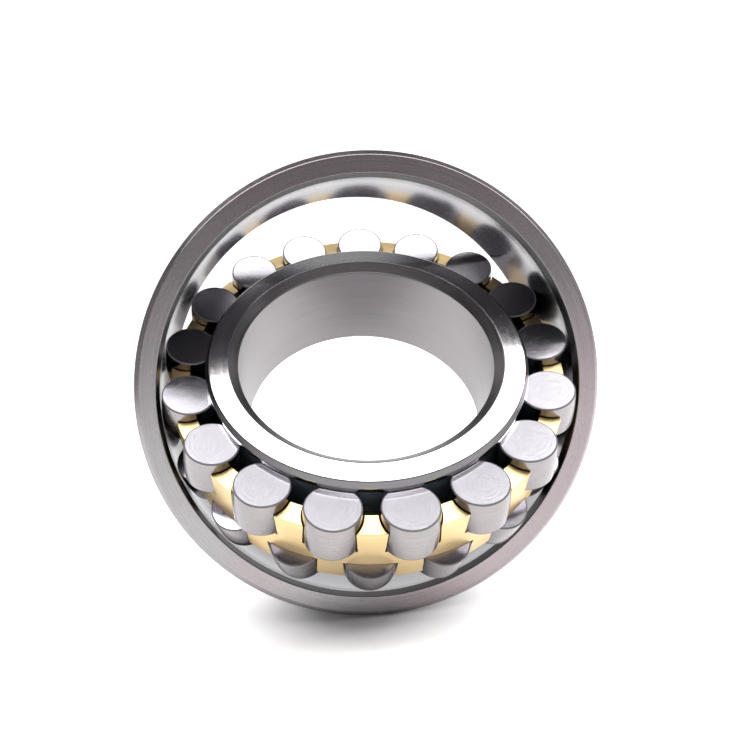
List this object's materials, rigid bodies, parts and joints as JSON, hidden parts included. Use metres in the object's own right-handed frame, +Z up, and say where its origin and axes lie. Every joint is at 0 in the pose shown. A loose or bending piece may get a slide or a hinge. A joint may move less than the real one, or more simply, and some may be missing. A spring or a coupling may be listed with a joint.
{
  "type": "spherical roller bearing",
  "caption": "Self-aligning spherical roller bearing whose inner ring, brass cage and barrel rollers turn and swivel in a spherical raceway, set down standing with the inner part tilted.",
  "frame": {"origin": "centre of the bearing, on the outer ring's axis, midway between its side faces", "axes": "Y along the outer ring's axis with its front face towards -Y; +Z up, the ring standing on its edge; X is the axis the inner part swivels about"},
  "size_m": [0.18, 0.1442, 0.18],
  "materials": {
    "outer_ring_steel": "fine ground",
    "inner_ring_steel": "fine ground",
    "roller_steel": "polished, ground ends",
    "guide_ring_steel": "dark turned",
    "cage_brass": "machined satin"
  },
  "bodies": {
    "outer_ring": {"outer_ring": "outer_ring_steel"},
    "inner_ring": {"inner_ring": "inner_ring_steel"},
    "guide_ring": {"guide_ring": "guide_ring_steel"},
    "cage": {"cage": "cage_brass"},
    "front_roller_01": {"front_roller_01": "roller_steel"},
    "front_roller_02": {"front_roller_02": "roller_steel"},
    "front_roller_03": {"front_roller_03": "roller_steel"},
    "front_roller_04": {"front_roller_04": "roller_steel"},
    "front_roller_05": {"front_roller_05": "roller_steel"},
    "front_roller_06": {"front_roller_06": "roller_steel"},
    "front_roller_07": {"front_roller_07": "roller_steel"},
    "front_roller_08": {"front_roller_08": "roller_steel"},
    "front_roller_09": {"front_roller_09": "roller_steel"},
    "front_roller_10": {"front_roller_10": "roller_steel"},
    "front_roller_11": {"front_roller_11": "roller_steel"},
    "front_roller_12": {"front_roller_12": "roller_steel"},
    "front_roller_13": {"front_roller_13": "roller_steel"},
    "front_roller_14": {"front_roller_14": "roller_steel"},
    "front_roller_15": {"front_roller_15": "roller_steel"},
    "front_roller_16": {"front_roller_16": "roller_steel"},
    "front_roller_17": {"front_roller_17": "roller_steel"},
    "back_roller_01": {"back_roller_01": "roller_steel"},
    "back_roller_02": {"back_roller_02": "roller_steel"},
    "back_roller_03": {"back_roller_03": "roller_steel"},
    "back_roller_04": {"back_roller_04": "roller_steel"},
    "back_roller_05": {"back_roller_05": "roller_steel"},
    "back_roller_06": {"back_roller_06": "roller_steel"},
    "back_roller_07": {"back_roller_07": "roller_steel"},
    "back_roller_08": {"back_roller_08": "roller_steel"},
    "back_roller_09": {"back_roller_09": "roller_steel"},
    "back_roller_10": {"back_roller_10": "roller_steel"},
    "back_roller_11": {"back_roller_11": "roller_steel"},
    "back_roller_12": {"back_roller_12": "roller_steel"},
    "back_roller_13": {"back_roller_13": "roller_steel"},
    "back_roller_14": {"back_roller_14": "roller_steel"},
    "back_roller_15": {"back_roller_15": "roller_steel"},
    "back_roller_16": {"back_roller_16": "roller_steel"},
    "back_roller_17": {"back_roller_17": "roller_steel"}
  },
  "joints": [
    {"name": "swivel", "type": "hinge", "parent": "outer_ring", "child": "guide_ring", "pos_m": [0, 0, 0], "axis": [1, 0, 0], "range_deg": [-13.5, 106.5]},
    {"name": "inner_ring_spin", "type": "hinge", "parent": "guide_ring", "child": "inner_ring", "pos_m": [0, 0, 0], "axis": [0, -0.6884, 0.7254], "continuous": true},
    {"name": "cage_spin", "type": "hinge", "parent": "guide_ring", "child": "cage", "pos_m": [0, 0, 0], "axis": [0, -0.6884, 0.7254], "continuous": true},
    {"name": "front_roller_01_spin", "type": "hinge", "parent": "cage", "child": "front_roller_01", "pos_m": [0.00893, 0.04304, 0.05727], "axis": [-0.0207, -0.7977, 0.6027], "continuous": true},
    {"name": "front_roller_02_spin", "type": "hinge", "parent": "cage", "child": "front_roller_02", "pos_m": [0.03384, 0.03725, 0.05177], "axis": [-0.0784, -0.7843, 0.6155], "continuous": true},
    {"name": "front_roller_03_spin", "type": "hinge", "parent": "cage", "child": "front_roller_03", "pos_m": [0.05419, 0.02531, 0.04044], "axis": [-0.1256, -0.7566, 0.6417], "continuous": true},
    {"name": "front_roller_04_spin", "type": "hinge", "parent": "cage", "child": "front_roller_04", "pos_m": [0.06722, 0.00885, 0.02482], "axis": [-0.1558, -0.7184, 0.6779], "continuous": true},
    {"name": "front_roller_05_spin", "type": "hinge", "parent": "cage", "child": "front_roller_05", "pos_m": [0.07117, -0.00992, 0.00701], "axis": [-0.165, -0.6749, 0.7192], "continuous": true},
    {"name": "front_roller_06_spin", "type": "hinge", "parent": "cage", "child": "front_roller_06", "pos_m": [0.06551, -0.02845, -0.01057], "axis": [-0.1518, -0.632, 0.76], "continuous": true},
    {"name": "front_roller_07_spin", "type": "hinge", "parent": "cage", "child": "front_roller_07", "pos_m": [0.051, -0.04425, -0.02557], "axis": [-0.1182, -0.5954, 0.7947], "continuous": true},
    {"name": "front_roller_08_spin", "type": "hinge", "parent": "cage", "child": "front_roller_08", "pos_m": [0.0296, -0.05518, -0.03594], "axis": [-0.0686, -0.57, 0.8188], "continuous": true},
    {"name": "front_roller_09_spin", "type": "hinge", "parent": "cage", "child": "front_roller_09", "pos_m": [0.00421, -0.05977, -0.04029], "axis": [-0.0098, -0.5594, 0.8288], "continuous": true},
    {"name": "front_roller_10_spin", "type": "hinge", "parent": "cage", "child": "front_roller_10", "pos_m": [-0.02176, -0.05739, -0.03803], "axis": [0.0504, -0.5649, 0.8236], "continuous": true},
    {"name": "front_roller_11_spin", "type": "hinge", "parent": "cage", "child": "front_roller_11", "pos_m": [-0.04478, -0.04836, -0.02947], "axis": [0.1038, -0.5858, 0.8038], "continuous": true},
    {"name": "front_roller_12_spin", "type": "hinge", "parent": "cage", "child": "front_roller_12", "pos_m": [-0.06176, -0.03392, -0.01576], "axis": [0.1431, -0.6193, 0.772], "continuous": true},
    {"name": "front_roller_13_spin", "type": "hinge", "parent": "cage", "child": "front_roller_13", "pos_m": [-0.07039, -0.016, 0.00124], "axis": [0.1632, -0.6608, 0.7326], "continuous": true},
    {"name": "front_roller_14_spin", "type": "hinge", "parent": "cage", "child": "front_roller_14", "pos_m": [-0.06952, 0.00297, 0.01925], "axis": [0.1611, -0.7048, 0.6908], "continuous": true},
    {"name": "front_roller_15_spin", "type": "hinge", "parent": "cage", "child": "front_roller_15", "pos_m": [-0.05926, 0.02043, 0.03582], "axis": [0.1374, -0.7453, 0.6524], "continuous": true},
    {"name": "front_roller_16_spin", "type": "hinge", "parent": "cage", "child": "front_roller_16", "pos_m": [-0.041, 0.03403, 0.04872], "axis": [0.095, -0.7768, 0.6225], "continuous": true},
    {"name": "front_roller_17_spin", "type": "hinge", "parent": "cage", "child": "front_roller_17", "pos_m": [-0.0172, 0.04192, 0.05621], "axis": [0.0399, -0.7951, 0.6052], "continuous": true},
    {"name": "back_roller_01_spin", "type": "hinge", "parent": "cage", "child": "back_roller_01", "pos_m": [0.02176, 0.05739, 0.03803], "axis": [0.0504, -0.5649, 0.8236], "continuous": true},
    {"name": "back_roller_02_spin", "type": "hinge", "parent": "cage", "child": "back_roller_02", "pos_m": [0.04478, 0.04836, 0.02947], "axis": [0.1038, -0.5858, 0.8038], "continuous": true},
    {"name": "back_roller_03_spin", "type": "hinge", "parent": "cage", "child": "back_roller_03", "pos_m": [0.06176, 0.03392, 0.01576], "axis": [0.1431, -0.6193, 0.772], "continuous": true},
    {"name": "back_roller_04_spin", "type": "hinge", "parent": "cage", "child": "back_roller_04", "pos_m": [0.07039, 0.016, -0.00124], "axis": [0.1632, -0.6608, 0.7326], "continuous": true},
    {"name": "back_roller_05_spin", "type": "hinge", "parent": "cage", "child": "back_roller_05", "pos_m": [0.06952, -0.00297, -0.01925], "axis": [0.1611, -0.7048, 0.6908], "continuous": true},
    {"name": "back_roller_06_spin", "type": "hinge", "parent": "cage", "child": "back_roller_06", "pos_m": [0.05926, -0.02043, -0.03582], "axis": [0.1374, -0.7453, 0.6524], "continuous": true},
    {"name": "back_roller_07_spin", "type": "hinge", "parent": "cage", "child": "back_roller_07", "pos_m": [0.041, -0.03403, -0.04872], "axis": [0.095, -0.7768, 0.6225], "continuous": true},
    {"name": "back_roller_08_spin", "type": "hinge", "parent": "cage", "child": "back_roller_08", "pos_m": [0.0172, -0.04192, -0.05621], "axis": [0.0399, -0.7951, 0.6052], "continuous": true},
    {"name": "back_roller_09_spin", "type": "hinge", "parent": "cage", "child": "back_roller_09", "pos_m": [-0.00893, -0.04304, -0.05727], "axis": [-0.0207, -0.7977, 0.6027], "continuous": true},
    {"name": "back_roller_10_spin", "type": "hinge", "parent": "cage", "child": "back_roller_10", "pos_m": [-0.03384, -0.03725, -0.05177], "axis": [-0.0784, -0.7843, 0.6155], "continuous": true},
    {"name": "back_roller_11_spin", "type": "hinge", "parent": "cage", "child": "back_roller_11", "pos_m": [-0.05419, -0.02531, -0.04044], "axis": [-0.1256, -0.7566, 0.6417], "continuous": true},
    {"name": "back_roller_12_spin", "type": "hinge", "parent": "cage", "child": "back_roller_12", "pos_m": [-0.06722, -0.00885, -0.02482], "axis": [-0.1558, -0.7184, 0.6779], "continuous": true},
    {"name": "back_roller_13_spin", "type": "hinge", "parent": "cage", "child": "back_roller_13", "pos_m": [-0.07117, 0.00992, -0.00701], "axis": [-0.165, -0.6749, 0.7192], "continuous": true},
    {"name": "back_roller_14_spin", "type": "hinge", "parent": "cage", "child": "back_roller_14", "pos_m": [-0.06551, 0.02845, 0.01057], "axis": [-0.1518, -0.632, 0.76], "continuous": true},
    {"name": "back_roller_15_spin", "type": "hinge", "parent": "cage", "child": "back_roller_15", "pos_m": [-0.051, 0.04425, 0.02557], "axis": [-0.1182, -0.5954, 0.7947], "continuous": true},
    {"name": "back_roller_16_spin", "type": "hinge", "parent": "cage", "child": "back_roller_16", "pos_m": [-0.0296, 0.05518, 0.03594], "axis": [-0.0686, -0.57, 0.8188], "continuous": true},
    {"name": "back_roller_17_spin", "type": "hinge", "parent": "cage", "child": "back_roller_17", "pos_m": [-0.00421, 0.05977, 0.04029], "axis": [-0.0098, -0.5594, 0.8288], "continuous": true}
  ],
  "couplings": [
    {"joint": "cage_spin", "follows": "inner_ring_spin", "ratio": 0.42867},
    {"joint": "front_roller_01_spin", "follows": "inner_ring_spin", "ratio": -3.3864},
    {"joint": "front_roller_02_spin", "follows": "inner_ring_spin", "ratio": -3.3864},
    {"joint": "front_roller_03_spin", "follows": "inner_ring_spin", "ratio": -3.3864},
    {"joint": "front_roller_04_spin", "follows": "inner_ring_spin", "ratio": -3.3864},
    {"joint": "front_roller_05_spin", "follows": "inner_ring_spin", "ratio": -3.3864},
    {"joint": "front_roller_06_spin", "follows": "inner_ring_spin", "ratio": -3.3864},
    {"joint": "front_roller_07_spin", "follows": "inner_ring_spin", "ratio": -3.3864},
    {"joint": "front_roller_08_spin", "follows": "inner_ring_spin", "ratio": -3.3864},
    {"joint": "front_roller_09_spin", "follows": "inner_ring_spin", "ratio": -3.3864},
    {"joint": "front_roller_10_spin", "follows": "inner_ring_spin", "ratio": -3.3864},
    {"joint": "front_roller_11_spin", "follows": "inner_ring_spin", "ratio": -3.3864},
    {"joint": "front_roller_12_spin", "follows": "inner_ring_spin", "ratio": -3.3864},
    {"joint": "front_roller_13_spin", "follows": "inner_ring_spin", "ratio": -3.3864},
    {"joint": "front_roller_14_spin", "follows": "inner_ring_spin", "ratio": -3.3864},
    {"joint": "front_roller_15_spin", "follows": "inner_ring_spin", "ratio": -3.3864},
    {"joint": "front_roller_16_spin", "follows": "inner_ring_spin", "ratio": -3.3864},
    {"joint": "front_roller_17_spin", "follows": "inner_ring_spin", "ratio": -3.3864},
    {"joint": "back_roller_01_spin", "follows": "inner_ring_spin", "ratio": -3.3864},
    {"joint": "back_roller_02_spin", "follows": "inner_ring_spin", "ratio": -3.3864},
    {"joint": "back_roller_03_spin", "follows": "inner_ring_spin", "ratio": -3.3864},
    {"joint": "back_roller_04_spin", "follows": "inner_ring_spin", "ratio": -3.3864},
    {"joint": "back_roller_05_spin", "follows": "inner_ring_spin", "ratio": -3.3864},
    {"joint": "back_roller_06_spin", "follows": "inner_ring_spin", "ratio": -3.3864},
    {"joint": "back_roller_07_spin", "follows": "inner_ring_spin", "ratio": -3.3864},
    {"joint": "back_roller_08_spin", "follows": "inner_ring_spin", "ratio": -3.3864},
    {"joint": "back_roller_09_spin", "follows": "inner_ring_spin", "ratio": -3.3864},
    {"joint": "back_roller_10_spin", "follows": "inner_ring_spin", "ratio": -3.3864},
    {"joint": "back_roller_11_spin", "follows": "inner_ring_spin", "ratio": -3.3864},
    {"joint": "back_roller_12_spin", "follows": "inner_ring_spin", "ratio": -3.3864},
    {"joint": "back_roller_13_spin", "follows": "inner_ring_spin", "ratio": -3.3864},
    {"joint": "back_roller_14_spin", "follows": "inner_ring_spin", "ratio": -3.3864},
    {"joint": "back_roller_15_spin", "follows": "inner_ring_spin", "ratio": -3.3864},
    {"joint": "back_roller_16_spin", "follows": "inner_ring_spin", "ratio": -3.3864},
    {"joint": "back_roller_17_spin", "follows": "inner_ring_spin", "ratio": -3.3864}
  ]
}
